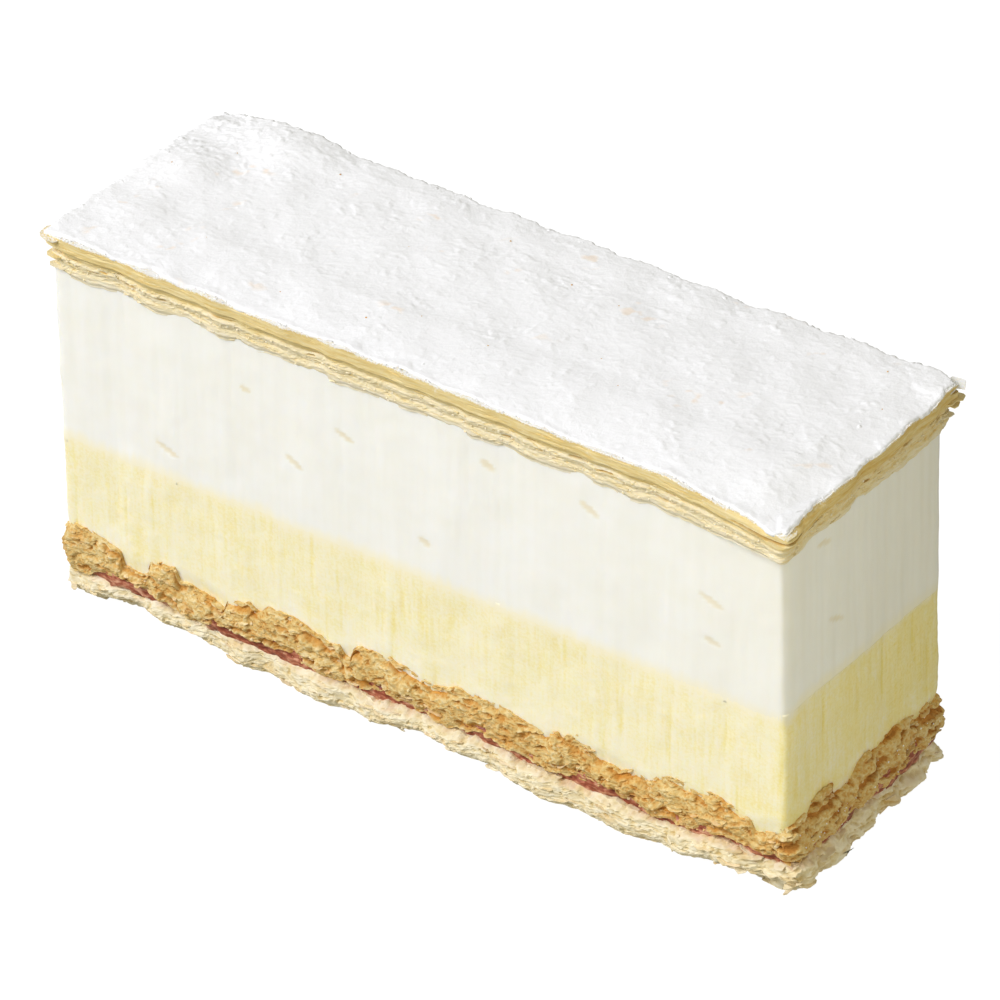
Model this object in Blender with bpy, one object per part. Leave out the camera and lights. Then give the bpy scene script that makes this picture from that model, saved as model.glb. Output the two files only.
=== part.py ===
"""A cut slice of mille feuille, lying flat as it is served.

From the bottom up it is a pale puff pastry base, a smear of red jam, a browned and lumpy puff
pastry sheet, yellow custard, white whipped cream, a thin pastry lid and powdered sugar.
Every layer runs through the whole slice and is one closed solid. Two layers that lie on each
other share one height function, and a small gap keeps their solids apart.

+X runs along the slice, -Y is the long front cut and +Z is up. Sizes are in millimetres until
the mesh is written, which is in metres.
"""

import math

import bmesh
import bpy

MM = 0.001

# Driving dimensions: the cut body of custard and cream
BODY_LENGTH = 120.0
BODY_DEPTH = 37.7
END_LEAN = 2.15            # how far the right end leans out from the cream's top to the table
GAP = 0.3                  # room between two neighbouring solids

# Heights of the borders between the layers, above the table
BASE_TOP = 4.3
JAM_THICKNESS = 1.3
CRUST_TOP = 9.6            # in the notches between the browned mounds
CUSTARD_TOP = 27.3
CUSTARD_RISE = 1.5         # the custard is this much higher at the right end than at the left
CREAM_TOP = 54.5
LID_TOP = 59.9
SUGAR_THICKNESS = 1.4
SUGAR_LEAST = 0.6          # where the sugar feathers out over the lid's front rim

# Browned mounds of the middle pastry, along the two long sides and across the two ends
MOUND_PITCH = 17.4
MOUND_NOTCH = -48.0        # where one notch between two mounds lies
MOUND_HEIGHT = 2.9
END_MOUND_PITCH = 9.8
END_MOUND_NOTCH = 3.3
END_MOUND_HEIGHT = 1.5
END_MOUND_FOOT = 2.2       # the ends stand this much higher than the notches of the long sides
END_BLEND = 4.0            # the end mounds reach this far round on to the long sides

# The base's rim lifts off the table in long waves, and its top follows them in part
RIM_LIFT = 0.5
LIFT_HEIGHT = 2.2
LIFT_PITCH = 52.0
LIFT_CROWN = -47.0
LIFT_FOLLOW = 0.4

# The lid's near right corner sags over the cream and draws out to a point, and its far right
# corner curls up
SAG_DEPTH = 1.6
SAG_REACH = 20.0
SAG_POINT = 1.2
CURL_RISE = 0.7
CURL_REACH = 9.0
SCALLOP_PITCH = 13.0       # the cream's upper edge is pressed into low scallops by the lid
SCALLOP_NOTCH = 4.0
SCALLOP_DEPTH = 0.7

# A heap in the powdered sugar near the far left corner
HEAP_HEIGHT = 1.5
HEAP_CENTRE = (-47.5, 17.0)
HEAP_RADIUS = 10.0

# Uneven waves in the borders, as (height, length of the main wave, phase)
UNDERSIDE_WAVE = (0.45, 13.0, 0.4)
BASE_WAVE = (0.4, 17.0, 1.9)
JAM_WAVE = (0.4, 21.0, 3.1)
CRUST_LUMPS = (0.35, 7.0, 0.7)
CUSTARD_WAVE = (0.25, 26.0, 2.2)
LID_BEND = (0.25, 45.0, 1.2)
SUGAR_LUMPS = (0.5, 11.0, 0.9)
SUGAR_GRAINS = (0.5, 6.5, 4.4)

# The mesh: cells along and across, and how far the flat middle of a hidden border lies inside
CELLS_ALONG = 42
CELLS_ACROSS = 14
FLAT_INSET = 5.0
FLAT_LEVEL = 0.85          # the flat middle under the custard, as a share of the mounds' height
NEAR_RIGHT = (1.0, 0.0)    # the corner that is worn most, as its shares along and across
CORNER_SHARE = 0.3         # how much of that wear the other corners have


def clamp(value):
    return max(0.0, min(1.0, value))


def smooth(value):
    """Run from 0 to 1 with level ends."""
    share = clamp(value)
    return share * share * (3.0 - 2.0 * share)


def ripple(place, length, phase):
    """An uneven wave between about -1 and 1, whose main wave has the given length."""
    turn = 2.0 * math.pi * place / length
    return (math.sin(turn + phase) + 0.6 * math.sin(1.73 * turn + 2.1 * phase + 1.0)
            + 0.4 * math.sin(2.91 * turn + 3.7 * phase + 2.0)) / 1.6


def unevenness(x, y, wave):
    """An uneven wave over the plan, which runs on round the slice's corners."""
    height, length, phase = wave
    along = ripple(x, length, phase)
    across = ripple(y, 0.8 * length, phase + 1.3)
    askew = ripple(x + y, 1.3 * length, phase + 2.6)
    return height * (along + across + askew) / 2.4


def mound(place, pitch, notch):
    """A round-topped wave, from 0 in the notch between two mounds to 1 on their crowns."""
    return math.sqrt(abs(math.sin(math.pi * (place - notch) / pitch)))


def corner(along, across, reach):
    """1 at a corner of the cut body, falling to 0 a reach away. The sides face outward."""
    near_end = smooth((along - 0.5 * BODY_LENGTH) / reach + 1.0)
    near_side = smooth((across - 0.5 * BODY_DEPTH) / reach + 1.0)
    return near_end * near_side


# Height functions of the borders, over the cut body's own plan. "edge" is 1 at the slice's rim
# and falls to 0 where the hidden flat middle begins, so that two neighbours stay level there.

def lift(x):
    """How far the base's rim is lifted by its long waves, which have short crowns."""
    crown = 0.5 + 0.5 * math.cos(2.0 * math.pi * (x - LIFT_CROWN) / LIFT_PITCH)
    return LIFT_HEIGHT * crown * crown


def base_underside(x, y, edge):
    return edge * (RIM_LIFT + lift(x) + unevenness(x, y, UNDERSIDE_WAVE))


def base_top(x, y, edge):
    return BASE_TOP + edge * (LIFT_FOLLOW * lift(x) + unevenness(x, y, BASE_WAVE))


def jam_top(x, y, edge):
    return base_top(x, y, edge) + JAM_THICKNESS + edge * unevenness(x, y, JAM_WAVE)


def crust_top(x, y, edge):
    long_side = MOUND_HEIGHT * mound(x, MOUND_PITCH, MOUND_NOTCH)
    end_side = END_MOUND_FOOT + END_MOUND_HEIGHT * mound(y, END_MOUND_PITCH, END_MOUND_NOTCH)
    near_end = smooth((abs(x) - 0.5 * BODY_LENGTH) / END_BLEND + 1.0)
    middle = FLAT_LEVEL * MOUND_HEIGHT
    relief = (1.0 - near_end) * long_side + near_end * end_side - middle
    return CRUST_TOP + middle + edge * (relief + unevenness(x, y, CRUST_LUMPS))


def custard_top(x, y, edge):
    along = x / BODY_LENGTH + 0.5
    return CUSTARD_TOP + CUSTARD_RISE * along + edge * unevenness(x, y, CUSTARD_WAVE)


def cream_top(x, y, edge):
    scallop = SCALLOP_DEPTH * (1.0 - mound(x + y, SCALLOP_PITCH, SCALLOP_NOTCH))
    return CREAM_TOP - edge * scallop


def lid_top(x, y, edge):
    corners = CURL_RISE * corner(x, y, CURL_REACH) - SAG_DEPTH * corner(x, -y, SAG_REACH)
    return LID_TOP + edge * (corners + unevenness(x, y, LID_BEND))


def sugar_top(x, y, edge):
    lumps = unevenness(x, y, SUGAR_LUMPS) + unevenness(y, x, SUGAR_GRAINS)
    away = math.hypot(x - HEAP_CENTRE[0], y - HEAP_CENTRE[1])
    heap = HEAP_HEIGHT * smooth(1.0 - away / HEAP_RADIUS)
    to_back = clamp(y / BODY_DEPTH + 0.5)
    rim = SUGAR_LEAST + to_back * (SUGAR_THICKNESS - SUGAR_LEAST)
    thickness = (1.0 - edge) * SUGAR_THICKNESS + edge * rim
    return lid_top(x, y, edge) + max(SUGAR_LEAST, thickness + lumps + heap)


# The layers, from the table up: node name, border below and above, how far the layer reaches
# past the cut body on the left, right, front and back, how uneven its outline is, how far its
# crumbled near right corner is drawn in, its side's profile as (share of the height, outward
# step), and its colour and roughness.

LAYERS = [
    dict(node="base_pastry", below=base_underside, above=base_top,
         reach=(1.0, 1.9, 0.1, 0.7), waver=0.7, wave=13.0, corner=1.5, is_lid=False,
         profile=[(0.0, -0.5), (0.3, 0.2), (0.65, 0.1), (1.0, -0.4)],
         colour=(0.86, 0.77, 0.55), roughness=0.75),
    dict(node="jam", below=base_top, above=jam_top,
         reach=(-0.2, 0.3, -0.1, 0.0), waver=0.4, wave=16.0, corner=1.3, is_lid=False,
         profile=[(0.0, 0.0), (0.5, 0.25), (1.0, 0.0)],
         colour=(0.40, 0.09, 0.07), roughness=0.35),
    dict(node="middle_pastry", below=jam_top, above=crust_top,
         reach=(0.8, 0.8, 0.5, 0.6), waver=0.5, wave=8.5, corner=1.0, is_lid=False,
         profile=[(0.0, -0.2), (0.3, 0.35), (0.7, 0.2), (1.0, -0.5)],
         colour=(0.68, 0.42, 0.17), roughness=0.8),
    dict(node="custard", below=crust_top, above=custard_top,
         reach=(0.0, 0.0, 0.0, 0.0), waver=0.15, wave=15.0, corner=0.2, is_lid=False,
         profile=[(0.0, 0.0), (0.5, 0.0), (1.0, 0.0)],
         colour=(0.90, 0.80, 0.42), roughness=0.5),
    dict(node="whipped_cream", below=custard_top, above=cream_top,
         reach=(0.0, 0.0, 0.0, 0.0), waver=0.15, wave=22.0, corner=0.2, is_lid=False,
         profile=[(0.0, 0.0), (0.5, 0.0), (1.0, 0.0)],
         colour=(0.93, 0.91, 0.84), roughness=0.6),
    dict(node="top_pastry", below=cream_top, above=lid_top,
         reach=(2.0, 1.6, 1.2, 2.5), waver=0.35, wave=11.0, corner=0.3, is_lid=True,
         profile=[(0.0, -1.2), (0.14, -0.7), (0.3, -1.0), (0.46, -0.5), (0.58, -0.8), (0.7, 0.0),
                  (1.0, 0.0)],
         colour=(0.80, 0.60, 0.30), roughness=0.7),
    dict(node="powdered_sugar", below=lid_top, above=sugar_top,
         reach=(1.9, 1.5, 1.0, 2.4), waver=0.35, wave=11.0, corner=0.3, is_lid=True,
         profile=[(0.0, -0.1), (1.0, -0.4)],
         colour=(0.95, 0.95, 0.94), roughness=0.95),
]


def outline(layer, u, v, z, step):
    """Push a rim point outward from the cut body to the layer's own uneven outline."""
    x, y = nominal(u, v)
    left, right, front, back = (reach + step for reach in layer["reach"])
    if u in (0.0, 1.0) and v in (0.0, 1.0):
        drawn_in = layer["corner"] * (1.0 if (u, v) == NEAR_RIGHT else CORNER_SHARE)
        left, right, front, back = (way - drawn_in for way in (left, right, front, back))
    if layer["is_lid"]:
        front += SAG_POINT * corner(x, -y, SAG_REACH)
    else:
        right += END_LEAN * (1.0 - z / CREAM_TOP)
    waver, wave, phase = layer["waver"], layer["wave"], len(layer["node"])
    if u == 0.0:
        x -= left + waver * ripple(y, wave, phase)
    if u == 1.0:
        x += right + waver * ripple(y, wave, phase + 2.0)
    if v == 0.0:
        y -= front + waver * ripple(u * BODY_LENGTH, wave, phase + 1.0)
    if v == 1.0:
        y += back + waver * ripple(u * BODY_LENGTH, wave, phase + 3.0)
    return x, y


def nominal(u, v):
    """The plan position on the cut body of the point u along and v across."""
    return (u - 0.5) * BODY_LENGTH, (v - 0.5) * BODY_DEPTH


def rim_walk():
    """The mesh columns round the rim, anticlockwise from the front left corner, as (i, j)."""
    front = [(i, 0) for i in range(CELLS_ALONG)]
    right = [(CELLS_ALONG, j) for j in range(CELLS_ACROSS)]
    back = [(i, CELLS_ACROSS) for i in range(CELLS_ALONG, 0, -1)]
    left = [(0, j) for j in range(CELLS_ACROSS, 0, -1)]
    return front + right + back + left


def inset(i, j):
    """A rim column's place on the ring where the hidden flat middle of a border begins."""
    shift_u = FLAT_INSET / BODY_LENGTH
    shift_v = FLAT_INSET / BODY_DEPTH
    u = shift_u + (1.0 - 2.0 * shift_u) * i / CELLS_ALONG
    v = shift_v + (1.0 - 2.0 * shift_v) * j / CELLS_ACROSS
    return u, v


def edge_share(u, v):
    """1 at the rim, falling evenly to 0 at the ring where the flat middle begins."""
    inside = min(min(u, 1.0 - u) * BODY_LENGTH, min(v, 1.0 - v) * BODY_DEPTH)
    return 1.0 - clamp(inside / FLAT_INSET)


def add_vertex(mesh, layer, u, v, share, step):
    """Add the vertex at a share of the layer's height, half a gap clear of its neighbours."""
    x, y = nominal(u, v)
    edge = edge_share(u, v)
    below, above = layer["below"], layer["above"]
    low = below(x, y, edge) + (0.0 if below is base_underside else 0.5 * GAP)
    high = above(x, y, edge) - (0.0 if above is sugar_top else 0.5 * GAP)
    z = low + (high - low) * share
    x, y = outline(layer, u, v, z, step)
    return mesh.verts.new((x * MM, y * MM, z * MM))


def bridge(mesh, lower, upper):
    """Join two rings of the same count with a band of quads."""
    for n in range(len(lower)):
        m = (n + 1) % len(lower)
        mesh.faces.new((lower[n], lower[m], upper[m], upper[n]))


def close_with_flat_middle(mesh, layer, rim, share):
    """Close one side of the layer with a band of quads round one flat face."""
    ring = [add_vertex(mesh, layer, *inset(i, j), share, 0.0) for i, j in rim_walk()]
    if share > 0.5:
        bridge(mesh, rim, ring)
        mesh.faces.new(ring)
    else:
        bridge(mesh, ring, rim)
        mesh.faces.new(list(reversed(ring)))


def close_with_lumps(mesh, layer, rim):
    """Close the top of the layer with a full grid that carries its lumps."""
    grid = dict(zip(rim_walk(), rim))
    for i in range(1, CELLS_ALONG):
        for j in range(1, CELLS_ACROSS):
            grid[i, j] = add_vertex(mesh, layer, i / CELLS_ALONG, j / CELLS_ACROSS, 1.0, 0.0)
    for i in range(CELLS_ALONG):
        for j in range(CELLS_ACROSS):
            mesh.faces.new((grid[i, j], grid[i + 1, j], grid[i + 1, j + 1], grid[i, j + 1]))


def make_material(layer):
    material = bpy.data.materials.new(layer["node"])
    material.use_nodes = True
    shader = material.node_tree.nodes["Principled BSDF"]
    shader.inputs["Base Color"].default_value = (*layer["colour"], 1.0)
    shader.inputs["Roughness"].default_value = layer["roughness"]
    shader.inputs["Metallic"].default_value = 0.0
    return material


def build_layer(layer):
    """Build one layer as a closed slab with its own side profile."""
    mesh = bmesh.new()
    rings = []
    for share, step in layer["profile"]:
        ring = [add_vertex(mesh, layer, i / CELLS_ALONG, j / CELLS_ACROSS, share, step)
                for i, j in rim_walk()]
        rings.append(ring)
    for lower, upper in zip(rings, rings[1:]):
        bridge(mesh, lower, upper)
    close_with_flat_middle(mesh, layer, rings[0], 0.0)
    if layer["above"] is sugar_top:
        close_with_lumps(mesh, layer, rings[-1])
    else:
        close_with_flat_middle(mesh, layer, rings[-1], 1.0)
    bmesh.ops.triangulate(mesh, faces=mesh.faces)
    data = bpy.data.meshes.new(layer["node"])
    mesh.to_mesh(data)
    mesh.free()
    data.materials.append(make_material(layer))
    solid = bpy.data.objects.new(layer["node"], data)
    bpy.context.scene.collection.objects.link(solid)
    return solid


def centre_on_table(solids):
    """Move the slice so that the origin is the middle of its box's underside."""
    points = [vertex.co for solid in solids for vertex in solid.data.vertices]
    middle = [0.5 * (min(p[k] for p in points) + max(p[k] for p in points)) for k in (0, 1)]
    for solid in solids:
        for vertex in solid.data.vertices:
            vertex.co.x -= middle[0]
            vertex.co.y -= middle[1]
    print("The slice was moved by", [round(-value / MM, 3) for value in middle], "mm")


def main():
    for old in list(bpy.data.objects):
        bpy.data.objects.remove(old)
    centre_on_table([build_layer(layer) for layer in LAYERS])


main()
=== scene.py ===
"""The looks of a cut slice of mille feuille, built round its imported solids.

The solids give every layer its place: a scan from outside reads how far each solid reaches at
every height, all round the slice. Each layer is then built again on that scan as a fine closed
skin, with its leaves, caves, knife marks or powder lumps as real relief. Loose crumbs, flakes
and sugar grains lie on the skins.

+X runs along the slice, -Y is the long front cut and +Z is up. Sizes are in millimetres until a
mesh is made, which is in metres.
"""

import itertools
import math

import bpy
import numpy as np
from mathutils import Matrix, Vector
from mathutils.bvhtree import BVHTree
from mathutils.kdtree import KDTree


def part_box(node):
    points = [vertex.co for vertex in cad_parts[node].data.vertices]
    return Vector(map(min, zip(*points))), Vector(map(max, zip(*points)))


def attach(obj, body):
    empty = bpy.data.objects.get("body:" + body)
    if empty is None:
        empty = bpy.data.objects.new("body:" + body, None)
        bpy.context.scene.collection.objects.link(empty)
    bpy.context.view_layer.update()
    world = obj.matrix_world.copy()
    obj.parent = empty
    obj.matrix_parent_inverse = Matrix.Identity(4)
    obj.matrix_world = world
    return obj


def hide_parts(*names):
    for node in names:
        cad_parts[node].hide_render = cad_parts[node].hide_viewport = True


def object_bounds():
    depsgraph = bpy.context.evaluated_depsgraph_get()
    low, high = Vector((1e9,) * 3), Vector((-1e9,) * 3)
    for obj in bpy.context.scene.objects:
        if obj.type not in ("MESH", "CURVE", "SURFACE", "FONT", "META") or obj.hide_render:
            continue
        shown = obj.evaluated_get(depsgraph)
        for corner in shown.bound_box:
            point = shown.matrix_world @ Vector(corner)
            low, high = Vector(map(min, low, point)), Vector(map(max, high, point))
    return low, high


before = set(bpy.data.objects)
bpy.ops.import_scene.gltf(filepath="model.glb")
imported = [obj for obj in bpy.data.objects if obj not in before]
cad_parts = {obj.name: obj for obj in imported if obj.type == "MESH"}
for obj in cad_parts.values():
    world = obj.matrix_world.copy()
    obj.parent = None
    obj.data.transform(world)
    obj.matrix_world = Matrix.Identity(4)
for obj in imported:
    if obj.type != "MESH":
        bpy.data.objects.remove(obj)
cad_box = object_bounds()

MM = 0.001
LAYERS = ["base_pastry", "jam", "middle_pastry", "custard", "whipped_cream", "top_pastry",
          "powdered_sugar"]

# The scan of the solids
PATH_INSET = 1.0           # the scan's path runs this far inside the cream's box
PATH_RADIUS = 0.8          # and turns its corners on this radius
PATH_STEP = 0.6
CORNER_COLUMNS = 11
LEVEL_STEP = 0.15
SCAN_START = 15.0          # rays start this far outside the path
SCAN_END = 3.0             # and end this far inside it
SIDE_DEPTH = 0.9           # a hit this much deeper than the layer's own side is a gap
BASE_DEPTH = 4.0           # but the base counts down to the floor
SCAN_SHARES = np.linspace(0.04, 0.96, 12)
SCAN_SOFTNESS = 0.7

# How many loose bits each layer has
CRUST_FLAKES, CRUST_CRUMBS = 260, 320
BASE_FLAKES, BASE_CRUMBS, CORNER_FLAKES = 140, 120, 26
LID_FLAKES, LID_CRUMBS = 220, 320
SUGAR_CLODS, RIM_CLODS, SUGAR_GRAINS, SUGAR_STRAY, SUGAR_SPECKS = 30, 110, 400, 60, 16
# The sheets that split off at the lid's corners: right, back, share, length, width, lift, dust
LID_SHEETS = [(True, True, 0.97, 4.8, 3.4, 0.1, 1.0), (True, True, 0.7, 4.8, 3.6, -0.2, 0.0),
              (True, True, 0.6, 4.2, 3.2, -0.2, 0.0), (True, True, 0.3, 4.6, 2.4, 0.2, 0.0),
              (False, False, 0.93, 4.6, 4.0, 0.0, 0.5), (False, False, 0.45, 4.6, 3.6, 0.2, 0.0),
              (False, False, 0.15, 4.2, 3.0, -0.2, 0.0), (True, False, 0.95, 4.0, 3.4, 0.0, 0.4),
              (False, True, 0.5, 4.6, 3.0, 0.2, 0.0)]

# Where custard and cream meet
MEETING_OVERLAP = 0.8      # each runs on behind the other this far
MEETING_DIP = 0.02         # and draws back this much there
MEETING_RISE = 1.3         # the line where they meet lies this much higher at the right end
MEETING_BLEND = 4.0        # their sides come together over this height

BASE_GAIN = 0.35           # the base's torn side stands this far outside its solid
FRONT_GAIN = 0.4           # and this much further at the front
POWDER_EDGE = 0.35         # how thick the powder is at the front and right edges
CREAM_CREASES = 26
LID_SLITS = 45
# The lid's split corners: right, back, share of its height, opening, depth, reach
LID_GAPS = [(False, False, 0.56, 0.7, 1.9, 5.0), (False, False, 0.3, 0.4, 0.9, 4.0),
            (True, True, 0.42, 0.9, 2.6, 5.0), (True, True, 0.86, 0.5, 2.2, 4.0),
            (False, True, 0.6, 0.6, 1.5, 4.0)]
LID_SPLIT = (57.0, -20.0)  # where the lid's top leaf comes away near the right front corner

NEAR_CORNER_GAIN = 1.2     # lid and powder are drawn out this far at the right front corner

# How far each skin stands outside its solid at the left and right ends
END_GAINS = {"base_pastry": (0.1, 0.1), "jam": (0.2, 0.3), "middle_pastry": (0.2, 0.4),
             "custard": (1.0, 0.4), "whipped_cream": (1.0, 0.4), "top_pastry": (-0.2, 0.3)}
# Heaps and dips in the powder: x, y, reach, height
SUGAR_HEAPS = [(-58.0, 4.0, 9.0, 0.9), (-44.0, 16.0, 9.0, 0.3), (-63.0, 21.0, 5.0, -1.0)]

# The camera, as it looks at the slice
CAMERA_TARGET = (-0.4405, 1.0574, 29.0993)
CAMERA_DISTANCE = 824.3
CAMERA_AZIMUTH = 35.894
CAMERA_ELEVATION = 33.590
CAMERA_LENS = 216.0
CAMERA_SENSOR = 36.0


# ---------------------------------------------------------------------------------------- noise

def scramble(places, seed):
    """Mix whole-number places, which differ along the last axis' three values, into 32 bits."""
    i, j, k = (places[..., axis].astype(np.int64).astype(np.uint32) for axis in range(3))
    mixed = (i * np.uint32(0x8DA6B343)) ^ (j * np.uint32(0xD8163841)) ^ (k * np.uint32(0xCB1AB31F))
    mixed = mixed + np.uint32((seed * 0x9E3779B9) & 0xFFFFFFFF)
    for shift, factor in ((15, 0x2C1B3C6D), (12, 0x297A2D39)):
        mixed = (mixed ^ (mixed >> np.uint32(shift))) * np.uint32(factor)
    return mixed ^ (mixed >> np.uint32(15))


def waves(points, length, seed):
    """Smooth noise, about -1 to 1, with bumps about one length wide along each axis."""
    scaled = points / np.asarray(length, float)
    cell = np.floor(scaled)
    inside = scaled - cell
    fade = inside ** 3 * (inside * (inside * 6.0 - 15.0) + 10.0)
    total = 0.0
    for corner in itertools.product((0, 1), repeat=3):
        mixed = scramble(cell + corner, seed)
        height, weight = 0.0, 1.0
        for axis, side in enumerate(corner):
            slope = ((mixed >> np.uint32(10 * axis)) & np.uint32(1023)) / 511.5 - 1.0
            height = height + slope * (inside[..., axis] - side)
            weight = weight * (fade[..., axis] if side else 1.0 - fade[..., axis])
        total = total + weight * height
    return 1.4 * total


def fractal(points, length, octaves, seed):
    """Noise with finer and weaker noise on it."""
    length = np.asarray(length, float)
    return sum(waves(points, length / 2 ** n, seed + 101 * n) / 2 ** n for n in range(octaves))


def step(low, high, value):
    """Run smoothly from 0 to 1 while the value goes from low to high."""
    share = np.clip((value - low) / (high - low), 0.0, 1.0)
    return share * share * (3.0 - 2.0 * share)


def soften(values, width, axis=0):
    """Blur along one axis, round and round, with a width counted in samples."""
    values = np.asarray(values, float)
    turns = np.fft.rfftfreq(values.shape[axis])
    shape = [1] * values.ndim
    shape[axis] = len(turns)
    blur = np.exp(-2.0 * (np.pi * turns * width) ** 2).reshape(shape)
    return np.fft.irfft(np.fft.rfft(values, axis=axis) * blur, values.shape[axis], axis=axis)


def soften_grid(values, width):
    """Blur a grid both ways; its first axis has ends, its second runs round or is long."""
    mirrored = np.concatenate([values, values[::-1]])
    return soften(soften(mirrored, width)[:len(values)], width, 1)


def leaves(points, thickness, bend, length, seed):
    """Cut the height into thin bent leaves: each point's leaf number and place in it, 0 to 1."""
    level = (points[..., 2] + bend * fractal(points, length, 2, seed)) / thickness
    number = np.floor(level)
    return number, level - number


def leaf_waves(points, number, length, seed):
    """Noise along the slice that is different in every leaf."""
    flat = np.stack([points[..., 0], points[..., 1], number * 7.31 * length], -1)
    return waves(flat, length, seed)


def warp(points, reach, length, seed):
    """Shift points about smoothly, so that the noise read there looks torn."""
    shifts = [fractal(points, length, 2, seed + 11 * axis) for axis in range(3)]
    return points + np.asarray(reach, float) * np.stack(shifts, -1)


def walls(points, length, seed):
    """1 on thin bent walls, falling to 0 in the cells between them."""
    return 1.0 - np.minimum(np.abs(waves(points, length, seed)) / 0.5, 1.0)


def crease(place, width):
    """1 on the border between two leaves, falling to 0 a width away."""
    return np.exp(-(np.minimum(place, 1.0 - place) / width) ** 2)


# ------------------------------------------------------------------------- scan of the solids

def round_path(low, high):
    """Points and outward ways round a rectangle, anticlockwise from the left of its front."""
    points, ways = [], []
    for turn, (x, y) in enumerate([(high[0], low[1]), (high[0], high[1]), (low[0], high[1]),
                                   (low[0], low[1])]):
        centre = np.array((x - math.copysign(PATH_RADIUS, x), y - math.copysign(PATH_RADIUS, y)))
        angles = 0.5 * math.pi * (turn - 1 + np.linspace(0.0, 1.0, CORNER_COLUMNS))
        arc = np.stack([np.cos(angles), np.sin(angles)], -1)
        first = centre + PATH_RADIUS * arc[0]
        last = points[-1] if points else np.array((low[0] + PATH_RADIUS, low[1]))
        gap = np.hypot(*(first - last))
        straight = np.arange(PATH_STEP, gap - 0.5 * PATH_STEP, PATH_STEP)[:, None] / gap
        points += list(last + (first - last) * straight) + list(centre + PATH_RADIUS * arc)
        ways += [arc[0]] * len(straight) + list(arc)
    return np.array(points), np.array(ways)


class Scan:
    """What the solids look like from outside, column by column round the slice."""

    def __init__(self):
        cream_low, cream_high = (np.array(corner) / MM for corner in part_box("whipped_cream"))
        self.foot, self.way = round_path(cream_low[:2] + PATH_INSET, cream_high[:2] - PATH_INSET)
        self.count = len(self.foot)
        owners, reach, levels = self.cast_rays()
        lows, highs, self.reach = [], [], []
        for number in range(len(LAYERS)):
            depth = SIDE_DEPTH if number else BASE_DEPTH
            low, high, out = self.read_layer(owners == number, reach, levels, depth)
            lows.append(low)
            highs.append(high)
            self.reach.append(soften(out, SCAN_SOFTNESS / PATH_STEP, 1))
        borders = [lows[0]] + [0.5 * (below + above) for below, above in zip(highs, lows[1:])]
        borders.append(highs[-1])
        self.border = [soften(border, SCAN_SOFTNESS / PATH_STEP) for border in borders]

    def cast_rays(self):
        """Which layer each ray meets, and how far outside the path it meets it."""
        corners, faces, owner_of_face = [], [], []
        for number, name in enumerate(LAYERS):
            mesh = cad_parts[name].data
            first = len(corners)
            corners += [vertex.co / MM for vertex in mesh.vertices]
            faces += [[first + v for v in face.vertices] for face in mesh.polygons]
            owner_of_face += [number] * len(mesh.polygons)
        tree = BVHTree.FromPolygons(corners, faces)
        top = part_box("powdered_sugar")[1].z / MM
        levels = np.arange(0.5 * LEVEL_STEP, top, LEVEL_STEP)
        owners = np.full((self.count, len(levels)), -1)
        reach = np.zeros((self.count, len(levels)))
        for column in range(self.count):
            (x, y), (along, across) = self.foot[column], self.way[column]
            back = Vector((-along, -across, 0.0))
            start_x, start_y = x + SCAN_START * along, y + SCAN_START * across
            for row, z in enumerate(levels):
                hit = tree.ray_cast(Vector((start_x, start_y, z)), back, SCAN_START + SCAN_END)
                if hit[2] is not None:
                    owners[column, row] = owner_of_face[hit[2]]
                    reach[column, row] = SCAN_START - hit[3]
        return owners, reach, levels

    def read_layer(self, mine, reach, levels, depth):
        """A layer's lower and upper border, and how far it stands out at each scan share."""
        low, high = np.zeros(self.count), np.zeros(self.count)
        out = np.zeros((len(SCAN_SHARES), self.count))
        for column in range(self.count):
            side = reach[column][mine[column]]
            shown = mine[column] & (reach[column] > np.median(side) - depth)
            heights = levels[shown]
            low[column] = heights[0] - 0.5 * LEVEL_STEP
            high[column] = heights[-1] + 0.5 * LEVEL_STEP
            wanted = low[column] + SCAN_SHARES * (high[column] - low[column])
            out[:, column] = np.interp(wanted, heights, reach[column][shown])
        return low, high, out

    def at(self, values, places):
        """Read a value per column at places between the columns."""
        return np.interp(places, np.arange(self.count), values, period=self.count)


scan = Scan()


# ---------------------------------------------------------------------------------------- skins

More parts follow.
